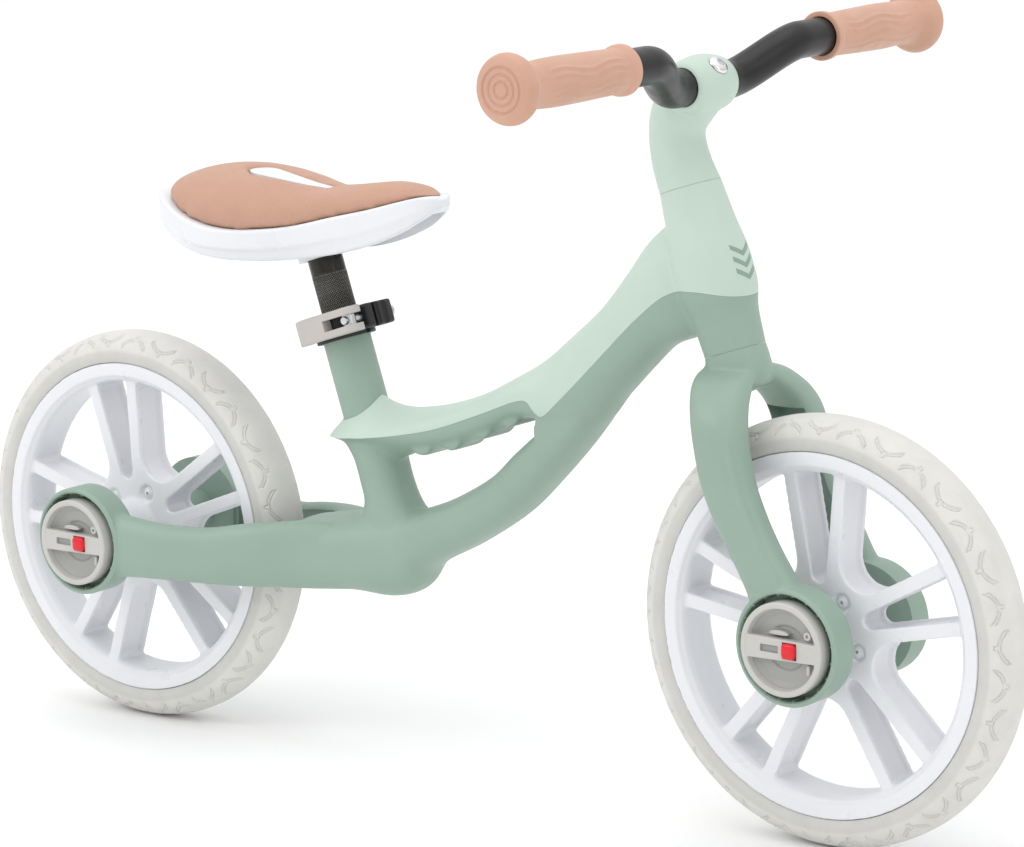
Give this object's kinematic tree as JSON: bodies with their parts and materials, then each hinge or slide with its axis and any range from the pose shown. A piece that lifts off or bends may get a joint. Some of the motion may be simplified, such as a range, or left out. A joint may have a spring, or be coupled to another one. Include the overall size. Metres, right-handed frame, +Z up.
{
  "type": "balance bike",
  "caption": "Toddler balance bike: moulded two-tone frame, leg fork, spoked wheels with foam tyres, padded saddle and bent handlebar with grips.",
  "frame": {"origin": "on the ground, midway between the two axles, on the bike's middle plane", "axes": "+X forward, from the rear axle to the front axle; +Y to the rider's left; +Z up"},
  "size_m": [0.788, 0.414, 0.478],
  "materials": {
    "frame_plastic": "fine-grained matte moulding, sage green",
    "shell_plastic": "fine-grained matte moulding, pale mint",
    "grip_rubber": "soft matte rubber, dusty peach",
    "seat_skin": "soft padded skin with a fine grain, dusty peach",
    "white_plastic": "glossy white moulding",
    "tyre_foam": "matte pale grey foam",
    "lock_plastic": "satin warm pale grey moulding",
    "black_plastic": "satin black moulding",
    "black_steel": "satin black paint, knurled on the seat post",
    "zinc_steel": "bright zinc",
    "chrome": "polished",
    "button_plastic": "glossy red"
  },
  "bodies": {
    "frame": {"frame_body": "frame_plastic", "upper_shell": "shell_plastic", "headset_bush_lower": "black_plastic", "headset_bush_upper": "black_plastic", "rear_axle": "zinc_steel", "clamp_collar": "black_plastic", "clamp_bolt": "zinc_steel", "clamp_barrel_nut": "zinc_steel"},
    "steering": {"fork": "frame_plastic", "steerer_tube": "zinc_steel", "stem": "shell_plastic", "stem_bolt": "chrome", "handlebar": "black_steel", "grip_left": "grip_rubber", "grip_right": "grip_rubber", "front_axle": "zinc_steel"},
    "seat": {"seat_base": "white_plastic", "seat_pad": "seat_skin", "seat_post": "black_steel"},
    "clamp_lever": {"clamp_lever": "lock_plastic"},
    "front_wheel": {"front_tyre": "tyre_foam", "front_rim": "white_plastic", "front_hub_spacer": "zinc_steel", "front_bearing_left": "zinc_steel", "front_bearing_right": "zinc_steel"},
    "front_lock_left": {"front_lock_disc_left": "lock_plastic"},
    "front_button_left": {"front_lock_button_left": "button_plastic"},
    "front_lock_right": {"front_lock_disc_right": "lock_plastic"},
    "front_button_right": {"front_lock_button_right": "button_plastic"},
    "rear_wheel": {"rear_tyre": "tyre_foam", "rear_rim": "white_plastic", "rear_hub_spacer": "zinc_steel", "rear_bearing_left": "zinc_steel", "rear_bearing_right": "zinc_steel"},
    "rear_lock_left": {"rear_lock_disc_left": "lock_plastic"},
    "rear_button_left": {"rear_lock_button_left": "button_plastic"},
    "rear_lock_right": {"rear_lock_disc_right": "lock_plastic"},
    "rear_button_right": {"rear_lock_button_right": "button_plastic"}
  },
  "joints": [
    {"name": "steering_turn", "type": "hinge", "parent": "frame", "child": "steering", "pos_m": [0.2005, 0, 0.285], "axis": [-0.309, 0, 0.9511], "range_deg": [-45, 45]},
    {"name": "front_wheel_spin", "type": "hinge", "parent": "steering", "child": "front_wheel", "pos_m": [0.267, 0, 0.127], "axis": [0, 1, 0], "continuous": true},
    {"name": "rear_wheel_spin", "type": "hinge", "parent": "frame", "child": "rear_wheel", "pos_m": [-0.267, 0, 0.127], "axis": [0, 1, 0], "continuous": true},
    {"name": "seat_height", "type": "slide", "parent": "frame", "child": "seat", "axis": [-0.309, 0, 0.9511], "range_m": [-0.03, 0.05]},
    {"name": "clamp_lever_open", "type": "hinge", "parent": "frame", "child": "clamp_lever", "pos_m": [-0.0748, -0.019, 0.2809], "axis": [-0.309, 0, 0.9511], "range_deg": [0, 150]},
    {"name": "front_lock_turn_left", "type": "hinge", "parent": "steering", "child": "front_lock_left", "pos_m": [0.267, 0.052, 0.127], "axis": [0, 1, 0], "range_deg": [0, 90]},
    {"name": "front_button_press_left", "type": "slide", "parent": "front_lock_left", "child": "front_button_left", "axis": [0, -1, 0], "range_m": [0, 0.002], "stiffness_N_per_m": 400, "springref_m": -0.001},
    {"name": "front_lock_turn_right", "type": "hinge", "parent": "steering", "child": "front_lock_right", "pos_m": [0.267, -0.052, 0.127], "axis": [0, -1, 0], "range_deg": [0, 90]},
    {"name": "front_button_press_right", "type": "slide", "parent": "front_lock_right", "child": "front_button_right", "axis": [0, 1, 0], "range_m": [0, 0.002], "stiffness_N_per_m": 400, "springref_m": -0.001},
    {"name": "rear_lock_turn_left", "type": "hinge", "parent": "frame", "child": "rear_lock_left", "pos_m": [-0.267, 0.07, 0.127], "axis": [0, 1, 0], "range_deg": [0, 90]},
    {"name": "rear_button_press_left", "type": "slide", "parent": "rear_lock_left", "child": "rear_button_left", "axis": [0, -1, 0], "range_m": [0, 0.002], "stiffness_N_per_m": 400, "springref_m": -0.001},
    {"name": "rear_lock_turn_right", "type": "hinge", "parent": "frame", "child": "rear_lock_right", "pos_m": [-0.267, -0.07, 0.127], "axis": [0, -1, 0], "range_deg": [0, 90]},
    {"name": "rear_button_press_right", "type": "slide", "parent": "rear_lock_right", "child": "rear_button_right", "axis": [0, 1, 0], "range_m": [0, 0.002], "stiffness_N_per_m": 400, "springref_m": -0.001}
  ]
}
